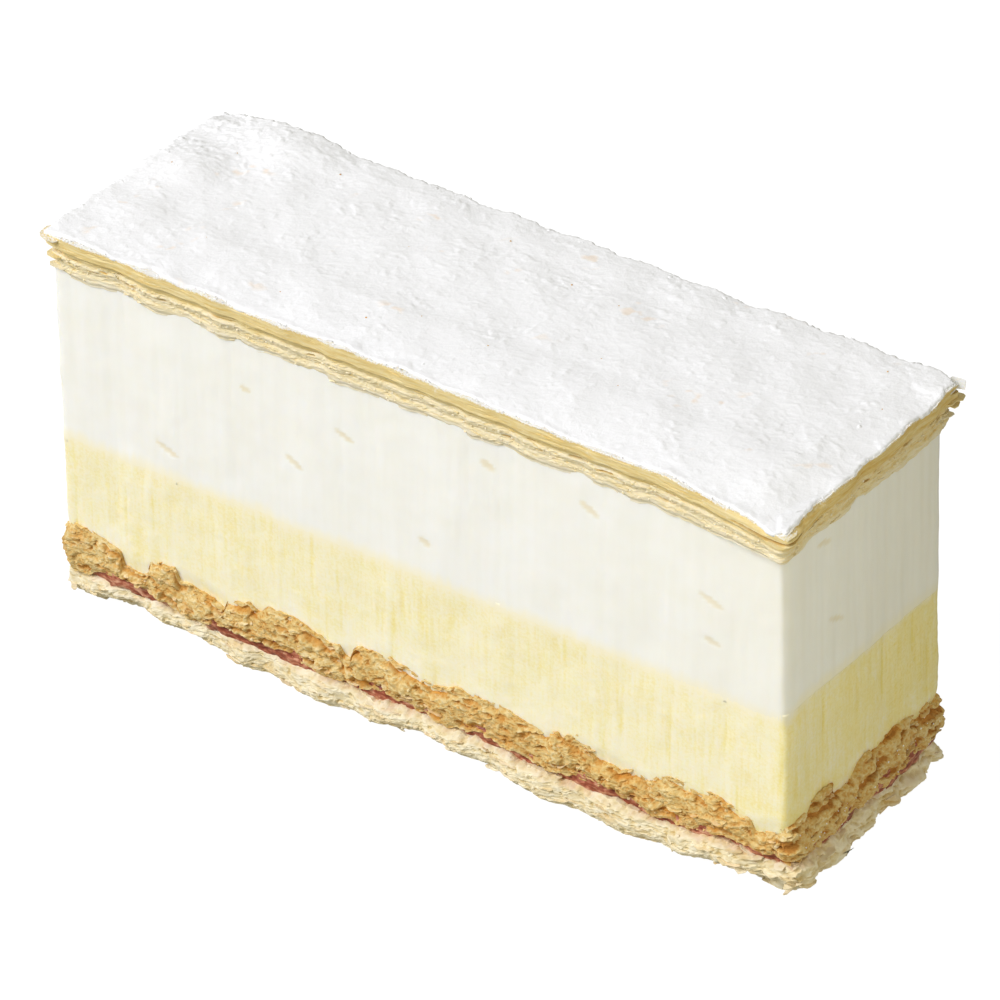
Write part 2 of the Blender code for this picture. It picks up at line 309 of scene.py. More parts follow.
class Skin:
    """One layer's side as a grid of points: rows from its lower border up, columns round."""

    def __init__(self, node, pitch, rows, extra_below=0.0, extra_above=0.0):
        number = LAYERS.index(node)
        middle = scan.reach[number][len(SCAN_SHARES) // 2]
        outline = scan.foot + scan.way * middle[:, None]
        closed = np.concatenate([outline, outline[:1]])
        reached = np.concatenate([[0.0], np.cumsum(np.hypot(*np.diff(closed, axis=0).T))])
        self.count = int(reached[-1] / pitch)
        even = np.arange(self.count) * reached[-1] / self.count
        self.place = np.interp(even, reached, np.arange(scan.count + 1))
        self.way = self.read_pair(scan.way)
        self.way /= np.hypot(*self.way.T)[:, None]
        self.foot = self.read_pair(scan.foot)
        self.low = scan.at(scan.border[number], self.place) - extra_below
        self.high = scan.at(scan.border[number + 1], self.place) + extra_above
        self.share = np.linspace(0.0, 1.0, rows)[:, None]
        columns = np.stack([scan.at(row, self.place) for row in scan.reach[number]])
        at_share = np.clip(np.interp(self.share[:, 0], SCAN_SHARES,
                                     np.arange(len(SCAN_SHARES))), 0, len(SCAN_SHARES) - 1)
        floor = np.minimum(at_share.astype(int), len(SCAN_SHARES) - 2)
        part = (at_share - floor)[:, None]
        self.out = columns[floor] * (1.0 - part) + columns[floor + 1] * part
        left, right = np.maximum(-self.way[:, 0], 0.0), np.maximum(self.way[:, 0], 0.0)
        left_gain, right_gain = END_GAINS[node]
        self.end_gain = left_gain * left ** 4 + right_gain * right ** 4
        self.out = self.out + self.end_gain
        self.attributes = {}
        self.place_points()

    def read_pair(self, pairs):
        return np.stack([scan.at(pairs[:, axis], self.place) for axis in (0, 1)], -1)

    def place_points(self):
        """Set the points from the borders and from how far each stands out."""
        spot = self.foot[None] + self.way[None] * self.out[..., None]
        height = self.low + (self.high - self.low) * self.share
        self.points = np.concatenate([spot, height[..., None]], -1)

    def height_above(self, level):
        return self.points[..., 2] - level

    def near(self, side):
        """1 on one side of the slice: "left", "right", "front" or "back"."""
        facing = {"left": -self.way[:, 0], "right": self.way[:, 0],
                  "front": -self.way[:, 1], "back": self.way[:, 1]}[side]
        return step(0.3, 0.9, facing)[None]

    def corner(self, right, back, reach):
        """1 at one corner of the slice, 0 a reach away from it along the sides."""
        spot = self.points[..., :2]
        corner_x = spot[..., 0].max() if right else spot[..., 0].min()
        corner_y = spot[..., 1].max() if back else spot[..., 1].min()
        away = np.hypot(spot[..., 0] - corner_x, spot[..., 1] - corner_y)
        return 1.0 - step(0.25 * reach, reach, away)

    def rings(self):
        """The side with the rings that close it inside, below and above."""
        mean = soften(self.out.mean(0), 12.0)
        rows = []
        for edge, way_in in ((0, (5.0, 2.0, 0.7)), (-1, (0.7, 2.0, 5.0))):
            rim = self.points[edge]
            flat = rim[:, 2].max() if edge == 0 else rim[:, 2].min() - 0.5
            ring_rows = []
            for inset in way_in:
                calm = step(0.0, 5.0, inset)
                out = (1.0 - calm) * self.out[edge] + calm * mean - inset
                spot = self.foot + self.way * out[:, None]
                height = rim[:, 2] + (flat - rim[:, 2]) * step(0.5, 5.0, inset)
                ring_rows.append(np.concatenate([spot, height[:, None]], -1))
            rows.append(ring_rows)
        return np.concatenate([rows[0], self.points, rows[1]])


def make_object(name, points, faces, material, nodes=(), attributes=None, smooth=True):
    """Turn points in millimetres and faces into a piece that rides on the slice."""
    mesh = bpy.data.meshes.new(name)
    mesh.from_pydata((np.asarray(points) * MM).tolist(), [], faces)
    mesh.polygons.foreach_set("use_smooth", [smooth] * len(mesh.polygons))
    for key, values in (attributes or {}).items():
        layer = mesh.attributes.new(key, "FLOAT", "POINT")
        layer.data.foreach_set("value", np.asarray(values, np.float32).ravel())
    mesh.materials.append(material)
    mesh.update()
    piece = bpy.data.objects.new(name, mesh)
    bpy.context.scene.collection.objects.link(piece)
    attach(piece, "root")
    if nodes:
        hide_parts(*nodes)
    return piece


def grid_faces(rows, columns, closed):
    """Quads of a grid that runs round, or that has two ends, seen from outside."""
    index = np.arange(rows * columns).reshape(rows, columns)
    if closed:
        index = np.concatenate([index, index[:, :1]], 1)
    return np.stack([index[:-1, :-1], index[:-1, 1:], index[1:, 1:], index[1:, :-1]],
                    -1).reshape(-1, 4).tolist()


def inside_box(points):
    """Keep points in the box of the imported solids."""
    low, high = (np.array(corner) / MM for corner in cad_box)
    return np.clip(points, low, high)


def finish_skin(skin, name, material, node, smooth=True):
    """Close a skin at both ends and make it the piece that stands for its node."""
    rings = inside_box(skin.rings())
    rows, columns = rings.shape[:2]
    faces = grid_faces(rows, columns, True)
    faces.append(list(range(columns))[::-1])
    faces.append(list(range((rows - 1) * columns, rows * columns)))
    attributes = {}
    for key, values in skin.attributes.items():
        full = np.broadcast_to(values, skin.out.shape)
        attributes[key] = np.concatenate([full[:1]] * 3 + [full] + [full[-1:]] * 3)
    return make_object(name, rings.reshape(-1, 3), faces, material, [node], attributes,
                       smooth)


def painted_relief_shade(push, width, height):
    """How far each point stands out of what is round it, about -1 to 1: as tone it paints shade
    into recesses and highlight onto what stands out.
    """
    return np.clip((push - soften_grid(push, width)) / height, -1.0, 1.0)


# ------------------------------------------------------------------------------------ materials

def srgb(red, green, blue):
    """A colour from its 0 to 255 screen values."""
    parts = [value / 255.0 for value in (red, green, blue)]
    linear = [part / 12.92 if part <= 0.04045 else ((part + 0.055) / 1.055) ** 2.4
              for part in parts]
    return (*linear, 1.0)


class Graph:
    """A short way to write the nodes of one material. Lengths are in millimetres."""

    def __init__(self, name):
        self.material = bpy.data.materials.new(name)
        self.material.use_nodes = True
        self.nodes = self.material.node_tree.nodes
        self.shader = self.nodes["Principled BSDF"]
        self.place = self.new("ShaderNodeTexCoord").outputs["Object"]

    def new(self, kind, **settings):
        node = self.nodes.new(kind)
        for key, value in settings.items():
            setattr(node, key, value)
        return node

    def put(self, socket, value):
        if isinstance(value, bpy.types.NodeSocket):
            self.material.node_tree.links.new(value, socket)
        else:
            socket.default_value = value

    def attribute(self, name):
        return self.new("ShaderNodeAttribute", attribute_name=name).outputs["Fac"]

    def stretched(self, lengths):
        node = self.new("ShaderNodeVectorMath", operation="MULTIPLY")
        self.put(node.inputs[0], self.place)
        node.inputs[1].default_value = [1.0 / (MM * length) for length in lengths]
        return node.outputs[0]

    def noise(self, lengths, detail=2.0, roughness=0.5, distortion=0.0):
        node = self.new("ShaderNodeTexNoise")
        self.put(node.inputs["Vector"], self.stretched(lengths))
        node.inputs["Scale"].default_value = 1.0
        node.inputs["Detail"].default_value = detail
        node.inputs["Roughness"].default_value = roughness
        node.inputs["Distortion"].default_value = distortion
        return node.outputs["Fac"]

    def pores(self, lengths, torn=1.0):
        """0 in the middle of small torn cells, rising towards the walls between them."""
        shift = self.new("ShaderNodeTexNoise")
        self.put(shift.inputs["Vector"], self.stretched(lengths))
        shift.inputs["Scale"].default_value = 1.3
        add = self.new("ShaderNodeVectorMath", operation="MULTIPLY_ADD")
        self.put(add.inputs[0], shift.outputs["Color"])
        add.inputs[1].default_value = (torn, torn, torn)
        self.put(add.inputs[2], self.stretched(lengths))
        node = self.new("ShaderNodeTexVoronoi")
        self.put(node.inputs["Vector"], add.outputs[0])
        node.inputs["Scale"].default_value = 1.0
        return node.outputs["Distance"]

    def remap(self, value, low, high, to_low=0.0, to_high=1.0):
        node = self.new("ShaderNodeMapRange", interpolation_type="SMOOTHSTEP")
        for socket, item in zip(node.inputs, (value, low, high, to_low, to_high)):
            self.put(socket, item)
        return node.outputs["Result"]

    def maths(self, operation, first, second):
        node = self.new("ShaderNodeMath", operation=operation)
        self.put(node.inputs[0], first)
        self.put(node.inputs[1], second)
        return node.outputs[0]

    def blend(self, share, first, second, how="MIX"):
        node = self.new("ShaderNodeMix", data_type="RGBA", blend_type=how)
        for socket, item in zip((node.inputs[0], node.inputs[6], node.inputs[7]),
                                (share, first, second)):
            self.put(socket, item)
        return node.outputs[2]

    def ramp(self, value, stops):
        node = self.new("ShaderNodeValToRGB")
        self.put(node.inputs["Fac"], value)
        elements = node.color_ramp.elements
        while len(elements) < len(stops):
            elements.new(0.5)
        for element, (position, colour) in zip(elements, stops):
            element.position = position
            element.color = colour
        return node.outputs["Color"]

    def bump(self, height, strength, distance):
        node = self.new("ShaderNodeBump")
        node.inputs["Strength"].default_value = strength
        node.inputs["Distance"].default_value = distance * MM
        self.put(node.inputs["Height"], height)
        self.put(self.shader.inputs["Normal"], node.outputs["Normal"])

    def finish(self, colour, roughness, specular=0.3, subsurface=0.0, radius=(1.0, 0.8, 0.5),
               depth=1.0):
        self.put(self.shader.inputs["Base Color"], colour)
        self.put(self.shader.inputs["Roughness"], roughness)
        self.shader.inputs["Specular IOR Level"].default_value = specular
        self.put(self.shader.inputs["Subsurface Weight"], subsurface)
        self.shader.inputs["Subsurface Radius"].default_value = radius
        self.shader.inputs["Subsurface Scale"].default_value = depth * MM
        return self.material


def base_material():
    """Pale baked dough: cream folds, painted shade in the crevices that turns them greenish yellow,
    pink where the jam soaks in.
    """
    g = Graph("pale_pastry")
    mottle = g.noise((1.4, 1.4, 0.7), 3.0, 0.6)
    pores = g.pores((1.0, 1.0, 0.5))
    tone = g.maths("ADD", g.attribute("tone"), g.remap(mottle, 0.3, 0.7, -0.1, 0.1))
    # Painted shade: darker in the middle of the pores, which the bump below makes deep.
    tone = g.maths("ADD", tone, g.remap(pores, 0.1, 0.7, -0.16, 0.1))
    colour = g.ramp(tone, [(0.0, srgb(194, 164, 102)), (0.25, srgb(216, 195, 142)),
                           (0.55, srgb(230, 215, 174)), (0.85, srgb(241, 231, 202))])
    colour = g.blend(g.attribute("toasted"), colour, srgb(214, 178, 110))
    colour = g.blend(g.attribute("stain"), colour, srgb(196, 146, 118))
    g.bump(pores, 0.5, 0.12)
    return g.finish(colour, g.remap(mottle, 0.3, 0.7, 0.6, 0.85), 0.2)


def crumb_material():
    """Browned puff pastry: tan crumb, with hollows and caves caramel and orange brown, partly from
    browning and partly painted shade.
    """
    g = Graph("browned_pastry")
    mottle = g.noise((0.8, 0.8, 0.5), 3.0, 0.65)
    tone = g.maths("ADD", g.attribute("tone"), g.remap(mottle, 0.3, 0.7, -0.13, 0.13))
    pores = g.pores((0.6, 0.6, 0.4))
    # Painted shade: darker in the middle of the pores, which the bump below makes deep.
    tone = g.maths("ADD", tone, g.remap(pores, 0.1, 0.7, -0.26, 0.14))
    colour = g.ramp(tone, [(0.0, srgb(186, 130, 60)), (0.22, srgb(208, 164, 92)),
                           (0.5, srgb(215, 184, 118)), (0.75, srgb(225, 202, 146)),
                           (1.0, srgb(235, 219, 178))])
    # Toasted colour: partly real browning, partly painted orange shadow and shade in the crust's
    # gaps and caves.
    colour = g.blend(g.attribute("toasted"), colour, srgb(206, 146, 62))
    g.bump(pores, 0.6, 0.15)
    return g.finish(colour, g.remap(mottle, 0.3, 0.7, 0.65, 0.9), 0.15)


def lid_material():
    """The lid's cut leaves: gold above, cream yellow crumb below, painted dark orange shade in the
    slits.
    """
    g = Graph("golden_pastry")
    mottle = g.noise((2.0, 2.0, 0.22), 3.0, 0.6)
    tone = g.maths("ADD", g.attribute("tone"), g.remap(mottle, 0.3, 0.7, -0.13, 0.13))
    gold = g.ramp(tone, [(0.0, srgb(194, 146, 60)), (0.3, srgb(218, 186, 110)),
                         (0.6, srgb(230, 209, 148)), (1.0, srgb(240, 226, 182))])
    pale = g.ramp(tone, [(0.0, srgb(208, 166, 88)), (0.25, srgb(225, 201, 140)),
                         (0.5, srgb(233, 218, 175)), (0.9, srgb(241, 232, 208))])
    colour = g.blend(g.attribute("gold"), pale, gold)
    powder = g.remap(g.noise((0.3, 0.3, 0.3), 2.0), 0.25, 0.75, -0.35, 0.35)
    dusting = g.remap(g.maths("ADD", g.attribute("dust"), powder), 0.05, 0.95)
    colour = g.blend(dusting, colour, srgb(248, 246, 240))
    fine = g.noise((0.5, 0.5, 0.14), 3.0, 0.6)
    g.bump(fine, 0.5, 0.08)
    return g.finish(colour, g.remap(fine, 0.3, 0.7, 0.55, 0.85), 0.25, 0.1, (1.0, 0.75, 0.4), 0.6)


def jam_material():
    """Moist red jam, darker and browner in painted shade where its relief lies back and in random
    patches, with pale threads of soaked dough.
    """
    g = Graph("red_jam")
    mottle = g.noise((1.3, 1.3, 0.5), 3.0, 0.6)
    colour = g.ramp(g.maths("ADD", g.attribute("tone"), g.remap(mottle, 0.3, 0.7, -0.4, 0.4)),
                    [(0.0, srgb(124, 54, 32)), (0.4, srgb(158, 84, 58)),
                     (0.7, srgb(186, 116, 86)), (1.0, srgb(214, 162, 128))])
    fine = g.noise((0.5, 0.5, 0.3), 2.0)
    g.bump(fine, 0.5, 0.12)
    return g.finish(colour, g.remap(mottle, 0.3, 0.7, 0.3, 0.6), 0.4, 0.08, (1.0, 0.3, 0.2), 0.8)


def custard_material():
    """Cut custard: pale yellow, deeper in the knife's drags, creamy where it is smeared."""
    g = Graph("yellow_custard")
    drag = g.noise((0.5, 0.5, 8.0), 2.0, 0.5)
    mottle = g.noise((3.0, 3.0, 2.4), 3.0, 0.5)
    grain = g.noise((0.5, 0.5, 0.45), 3.0, 0.75)
    tone = g.maths("ADD", g.attribute("tone"), g.remap(drag, 0.3, 0.7, -0.07, 0.07))
    tone = g.maths("ADD", tone, g.remap(mottle, 0.3, 0.7, -0.05, 0.05))
    tone = g.maths("ADD", tone, g.remap(grain, 0.3, 0.7, -0.13, 0.13))
    colour = g.ramp(tone, [(0.0, srgb(243, 224, 136)), (0.3, srgb(250, 235, 170)),
                           (0.55, srgb(254, 243, 204)), (1.0, srgb(254, 248, 230))])
    colour = g.blend(g.attribute("smear"), colour, srgb(252, 245, 216))
    fine = g.noise((0.5, 0.5, 1.0), 3.0, 0.6)
    g.bump(fine, 0.35, 0.08)
    return g.finish(colour, g.remap(fine, 0.3, 0.7, 0.45, 0.65), 0.3,
                    g.remap(g.attribute("smear"), 0.0, 0.6, 0.3, 0.0), (1.0, 0.85, 0.45), 1.4)


def cream_material():
    """Cut whipped cream: ivory white and matte, with painted beige shade in its creases, painted
    shade on its right end, and yellow smears below.
    """
    g = Graph("whipped_cream")
    drag = g.noise((1.2, 1.2, 16.0), 3.0, 0.55)
    mottle = g.noise((7.0, 7.0, 5.0), 2.0, 0.5)
    tone = g.maths("ADD", g.remap(drag, 0.3, 0.7, 0.0, 0.4), g.remap(mottle, 0.3, 0.7, 0.0, 0.6))
    colour = g.ramp(tone, [(0.0, srgb(248, 246, 235)), (1.0, srgb(251, 250, 242))])
    colour = g.blend(g.attribute("smear"), colour, srgb(252, 245, 216))
    colour = g.blend(g.attribute("crease"), colour, srgb(232, 218, 178))
    # Painted shade from the shade attribute: darker on the right end and near the right corner of
    # the front.
    colour = g.blend(g.maths("MULTIPLY", g.attribute("shade"), 0.6), colour,
                     srgb(237, 233, 216))
    fine = g.noise((0.8, 0.8, 2.5), 3.0, 0.55)
    g.bump(fine, 0.2, 0.08)
    return g.finish(colour, g.remap(fine, 0.3, 0.7, 0.5, 0.68), 0.3,
                    g.remap(g.attribute("smear"), 0.0, 0.6, 0.3, 0.0), (1.0, 0.9, 0.7), 1.5)


def sugar_material(subsurface):
    """Powdered sugar: dry, matte and almost white, with a few peach stains."""
    g = Graph("powdered_sugar")
    powder = g.noise((0.45, 0.45, 0.45), 3.0, 0.7)
    colour = g.ramp(g.maths("ADD", g.attribute("tone"), g.remap(powder, 0.3, 0.7, -0.15, 0.15)),
                    [(0.0, srgb(244, 244, 244)), (0.5, srgb(251, 251, 252)),
                     (1.0, srgb(254, 254, 254))])
    colour = g.blend(g.attribute("peach"), colour, srgb(248, 230, 210))
    g.bump(g.noise((0.4, 0.4, 0.4), 4.0, 0.75), 0.7, 0.14)
    return g.finish(colour, g.remap(powder, 0.3, 0.7, 0.85, 1.0), 0.1, subsurface,
                    (1.0, 1.0, 1.0), 0.5)


# --------------------------------------------------------------------------------------- layers

def slit(skin, push, spot, share, length, opening, depth, slope=0.0):
    """Press a lens-shaped slit into the side at a spot (x, y) and a share of the height."""
    nearest = np.argmin(np.hypot(*(skin.points[len(push) // 2, :, :2] - spot).T))
    along = (np.arange(skin.count) - nearest + skin.count // 2) % skin.count - skin.count // 2
    along = along * np.hypot(*(skin.points[0, 1, :2] - skin.points[0, 0, :2]))
    height = skin.height_above(skin.low + share * (skin.high - skin.low) + slope * along)
    inside = 1.0 - (along / (0.5 * length)) ** 2 - (height / (0.5 * opening)) ** 2
    mask = step(0.0, 0.6, inside)
    push -= depth * mask
    return mask


def build_base():
    skin = Skin("base_pastry", 0.25, 42)
    p = skin.points
    skin.low = np.maximum(0.25 * waves(p[0], (2.4, 2.4, 9.0), 21), 0.0)
    skin.high = skin.high + 0.3 + 0.25 * fractal(p[-1], 2.6, 3, 22)
    full = skin.out[len(skin.out) // 2] - 0.1
    skin.out = np.where(skin.share > 0.5, np.maximum(skin.out, full), skin.out)
    past_corner = skin.near("right") * (1.0 - skin.corner(True, False, 12.0))
    skin.out = skin.out - past_corner * (0.5 + 1.6 * step(0.4, 1.0, skin.share))
    skin.out = skin.out - 0.8 * skin.corner(False, False, 7.0) - skin.corner(True, True, 12.0)
    skin.place_points()
    p = warp(skin.points, (0.6, 0.6, 0.4), (1.8, 1.8, 1.0), 20)
    number, place = leaves(p, 0.8, 0.7, (6.0, 6.0, 3.5), 23)
    own = leaf_waves(p, number, 2.8, 24)
    torn = step(-0.1, 0.1, leaf_waves(p, number, 1.6, 25)) - 0.5
    open_crease = step(-0.2, 0.3, leaf_waves(p, number, 2.6, 26))
    lobes = fractal(skin.points * (1, 1, 0.3), 4.6, 3, 27)
    pits = step(0.25, 0.45, waves(p, (1.4, 1.4, 0.6), 28))
    steps = step(-0.12, 0.12, waves(skin.points, (6.0, 6.0, 9.0), 34)) - 0.5
    push = (0.18 * own + 0.12 * torn + 0.45 * lobes + 1.3 * past_corner * steps
            - (0.16 + 0.3 * past_corner) * crease(place, 0.18) * open_crease - 0.22 * pits
            + 0.16 * (walls(p, (1.3, 1.3, 0.5), 29) - 0.5) + 0.04 * fractal(p, 0.5, 2, 19))
    ledge = step(0.0, 0.1, 1.0 - skin.share)
    rounded = step(0.8, 1.0, skin.share) ** 2
    skin.out = (skin.out + push * (0.7 + 0.3 * ledge) + BASE_GAIN - 1.1 * rounded
                + FRONT_GAIN * skin.near("front") * (1.0 - skin.corner(True, False, 9.0))
                * (2.6 * step(-30.0, -10.0, skin.points[..., 0]) - 0.5))
    skin.place_points()
    skin.points[..., 2] += 0.45 * rounded * fractal(p, (1.5, 1.5, 1.5), 3, 35)
    # Tone: painted shade in recesses, pits and the open creases past the right front corner,
    # painted highlight on what stands out, and random tone.
    skin.attributes["tone"] = (0.6 + 0.2 * painted_relief_shade(push, 3.0, 0.25)
                               + 0.16 * fractal(p, (5.0, 5.0, 3.0), 2, 30) - 0.15 * pits
                               - 0.3 * past_corner * crease(place, 0.18) * open_crease)
    skin.attributes["toasted"] = 0.5 * step(0.3, 0.8, fractal(p, (7.0, 7.0, 2.0), 2, 31))
    skin.attributes["stain"] = (0.4 * step(0.86, 1.0, skin.share + 0.12 * fractal(p, 1.6, 3, 33))
                                * step(-0.5, 0.3, waves(p, (7.0, 7.0, 4.0), 32)))
    finish_skin(skin, "Base_pastry_folds", base_material(), "base_pastry", False)
    return skin


def build_jam():
    skin = Skin("jam", 0.4, 18, 0.6, 1.2)
    p = skin.points
    push = 0.3 * fractal(p, (1.7, 1.7, 0.7), 3, 41)
    skin.out = skin.out + push - 0.1
    skin.place_points()
    # Tone: painted shade where the relief lies back, painted highlight on its bumps, and random
    # patches.
    skin.attributes["tone"] = (0.5 + 0.4 * painted_relief_shade(push, 3.0, 0.2)
                               + 0.3 * fractal(p, (9.0, 9.0, 4.0), 2, 42))
    finish_skin(skin, "Jam_smear", jam_material(), "jam")
    return skin


def build_crumb():
    skin = Skin("middle_pastry", 0.21, 54)
    p = skin.points
    bared = step(-0.5, 0.0, waves(p[0], (11.0, 11.0, 30.0), 47))
    bared = bared * (1.0 - 0.6 * skin.near("right")[0])
    skin.low = skin.low - 1.0 + 1.3 * bared - 0.6 * fractal(p[0], 2.0, 3, 51)
    notches = step(0.18, 0.4, waves(p[-1], (5.0, 5.0, 30.0), 50))
    skin.high = skin.high + 0.45 * fractal(p[-1], 1.9, 3, 52) + 0.1 - 2.2 * notches
    skin.place_points()
    p = warp(skin.points, (0.6, 0.6, 0.45), (1.6, 1.6, 1.0), 49)
    number, place = leaves(p, 0.75, 0.6, (5.0, 5.0, 2.5), 53)
    own = leaf_waves(p, number, 2.0, 54)
    torn = step(-0.08, 0.08, leaf_waves(p, number, 1.3, 55)) - 0.5
    open_crease = step(-0.1, 0.4, leaf_waves(p, number, 2.0, 56))
    lumps = fractal(skin.points, (3.0, 3.0, 2.2), 2, 57)
    chunks = step(0.0, 0.2, np.abs(waves(warp(skin.points, 0.8, 2.0, 45), (4.6, 4.6, 3.4), 44)))
    sponge = walls(p, (1.2, 1.2, 0.9), 58) + 0.6 * walls(p, (0.7, 0.7, 0.5), 59) - 0.9
    caves = step(0.26, 0.42, waves(p, (1.7, 1.7, 0.85), 48))
    under_custard = (step(0.7, 0.8, skin.share) * (1.0 - step(0.86, 0.94, skin.share))
                     * step(0.0, 0.3, waves(skin.points, (5.0, 5.0, 40.0), 60)))
    over_jam = (step(0.06, 0.12, skin.share) * (1.0 - step(0.2, 0.3, skin.share))
                * step(-0.05, 0.25, waves(skin.points, (4.0, 4.0, 40.0), 46)))
    deeper = 1.0 + 0.8 * skin.near("right")
    pockets = step(0.1, 0.3, waves(skin.points, (5.0, 5.0, 1.5), 64)) * skin.near("right")
    push = (0.05 * own + 0.04 * torn + 0.4 * lumps - 0.06 * crease(place, 0.16) * open_crease
            + 0.3 * (chunks - 1.0) + 0.13 * sponge * deeper - 0.4 * caves * deeper ** 1.5
            - 0.7 * pockets - 0.6 * under_custard - 0.6 * over_jam
            + 0.03 * fractal(p, 0.45, 2, 61))
    skin.out = skin.out + push + 0.15
    skin.place_points()
    # Tone: painted shade in recesses, cells, caves, pockets and under the custard, deepest in the
    # right end's caves; painted highlight on the sponge walls and what stands out; random tone, a
    # little lighter on the right end and darker towards the right of the slice.
    skin.attributes["tone"] = (0.47 + 0.12 * painted_relief_shade(push, 3.0, 0.3) + 0.16 * sponge
                               + 0.2 * fractal(p, (3.0, 3.0, 2.0), 2, 62)
                               - (0.12 + 0.6 * skin.near("right")) * caves - 0.6 * pockets
                               - 0.2 * under_custard + 0.06 * skin.near("right")
                               - 0.1 * step(0.0, 50.0, skin.points[..., 0]))
    # Toasted colour: real browning in patches, plus painted orange shadow in the gaps under the
    # custard and over the jam, and painted shade in the caves.
    skin.attributes["toasted"] = np.clip(
        0.4 * step(0.2, 0.8, fractal(p, (4.0, 4.0, 2.5), 2, 63)) + 0.6 * under_custard
        + 0.7 * over_jam + 0.35 * caves, 0.0, 1.0) * (1.0 - 0.7 * skin.near("right"))
    finish_skin(skin, "Browned_crumb", crumb_material(), "middle_pastry", False)
    return skin


def knife_marks(skin):
    """The relief that the knife left on custard and cream alike."""
    p = skin.points
    ends = skin.near("left") + skin.near("right")
    return (0.05 * waves(p, (1.6, 1.6, 24.0), 81) + 0.08 * waves(p, (7.0, 7.0, 9.0), 82)
            + 0.03 * waves(p, (0.8, 0.8, 14.0), 80)
            + ends * (0.16 * waves(p, (30.0, 30.0, 5.0), 83)
                      + 0.05 * waves(p, (1.1, 1.1, 30.0), 84)))


def meeting_line(skin):
    """Where custard and cream meet on a skin: the height there, and how far it stands out."""
    spot = np.concatenate([skin.foot, np.zeros((skin.count, 1))], -1)
    level = (scan.at(scan.border[LAYERS.index("whipped_cream")], skin.place)
             + 0.2 * fractal(spot, 3.0, 3, 71)
             + MEETING_RISE * (skin.near("right") * (1.0 - skin.corner(True, False, 4.0)))[0])
    custard, cream = (scan.reach[LAYERS.index(name)] for name in ("custard", "whipped_cream"))
    return level, scan.at(0.5 * (custard[-1] + cream[0]), skin.place) + skin.end_gain


def toward_back(points):
    """0 at the slice's front, rising to 1 at its back."""
    return step(-25.0, 20.0, points[..., 1])


def bleeding(points):
    """How far up or down the yellow runs along the knife's fine marks."""
    return (0.5 * waves(points, (1.0, 1.0, 3.0), 78) + 0.4 * waves(points, (0.5, 0.5, 5.0), 79)
            + 0.3 * waves(points, (4.0, 4.0, 9.0), 70))


def build_custard():
    skin = Skin("custard", 0.4, 52, 2.6, MEETING_OVERLAP)
    p = skin.points
    level, out = meeting_line(skin)
    above = skin.height_above(level)
    own = 1.0 - step(-MEETING_BLEND, 0.0, above)
    fine = waves(p, (0.6, 0.6, 7.0), 72)
    wide = waves(p, (1.9, 1.9, 18.0), 73)
    strong = step(0.3, 0.7, waves(p, (0.9, 0.9, 14.0), 74))
    lumps = fractal(p, (5.0, 5.0, 3.5), 2, 75)
    pores = step(0.6, 0.75, waves(p, (1.2, 1.2, 1.0), 76))
    push = own * (0.03 * fine + 0.05 * wide - 0.09 * strong + 0.06 * lumps - 0.07 * pores
                  + 0.05 * fractal(p, (1.0, 1.0, 0.9), 2, 77))
    skin.out = (own * skin.out + (1.0 - own) * out + push + knife_marks(skin)
                - MEETING_DIP * step(0.0, MEETING_OVERLAP, above))
    behind = 1.0 - step(0.0, 3.0, skin.height_above(skin.low))
    skin.out = skin.out - 0.35 * behind
    skin.place_points()
    low_patch = 1.0 - step(0.0, 11.0, skin.height_above(skin.low))
    # Tone: painted shade on the right end, deepening towards the back, and in the pores; darker low
    # near the right front corner; deeper yellow in the knife's strong drags; random tone.
    skin.attributes["tone"] = (0.52 + 0.1 * wide + 0.1 * fine - 0.22 * strong
                               + 0.22 * low_patch * step(-0.3, 0.4, lumps) - 0.15 * pores
                               - 0.2 * low_patch * skin.corner(True, False, 12.0)
                               - skin.near("right") * (0.14 + 0.16 * toward_back(p)))
    skin.attributes["smear"] = step(-1.6, 0.6, above + bleeding(p))
    finish_skin(skin, "Custard_cut", custard_material(), "custard")
    return skin


def build_cream(random):
    skin = Skin("whipped_cream", 0.36, 76, MEETING_OVERLAP, 1.8)
    p = skin.points
    level, out = meeting_line(skin)
    above = skin.height_above(level)
    own = step(0.0, MEETING_BLEND, above)
    push = 0.05 * fractal(p, (3.0, 3.0, 3.0), 2, 85)
    creases = np.zeros_like(push)
    outline = p[len(p) // 2, :, :2]
    for _ in range(CREAM_CREASES):
        spot = outline[random.integers(skin.count)]
        creases = np.maximum(creases, slit(
            skin, push, spot, random.uniform(0.1, 0.95), random.uniform(1.5, 5.0),
            random.uniform(1.0, 1.4), random.uniform(0.02, 0.1), random.uniform(-0.42, -0.2)))
    skin.out = (own * (skin.out + push) + (1.0 - own) * out + knife_marks(skin)
                - MEETING_DIP * step(0.0, MEETING_OVERLAP, -above))
    skin.out = skin.out - 0.8 * step(-1.3, 0.0, skin.height_above(skin.high))
    skin.place_points()
    # Painted beige shade in the creases.
    skin.attributes["crease"] = 0.6 * creases * step(0.0, 0.3, own)
    skin.attributes["smear"] = 1.0 - step(-0.4, 2.0, above + bleeding(p))
    # Painted shade on the right end, deepening towards the back, and near the right corner of the
    # front; the right end is also darker in faint vertical streaks.
    skin.attributes["shade"] = skin.near("right") * (
        0.5 * step(-0.2, 0.6, waves(p, (1.3, 1.3, 40.0), 86)) + 0.6 * toward_back(p))
    skin.attributes["shade"] += 0.4 * skin.near("front") * skin.corner(True, False, 30.0)
    finish_skin(skin, "Whipped_cream_cut", cream_material(), "whipped_cream")
    return skin


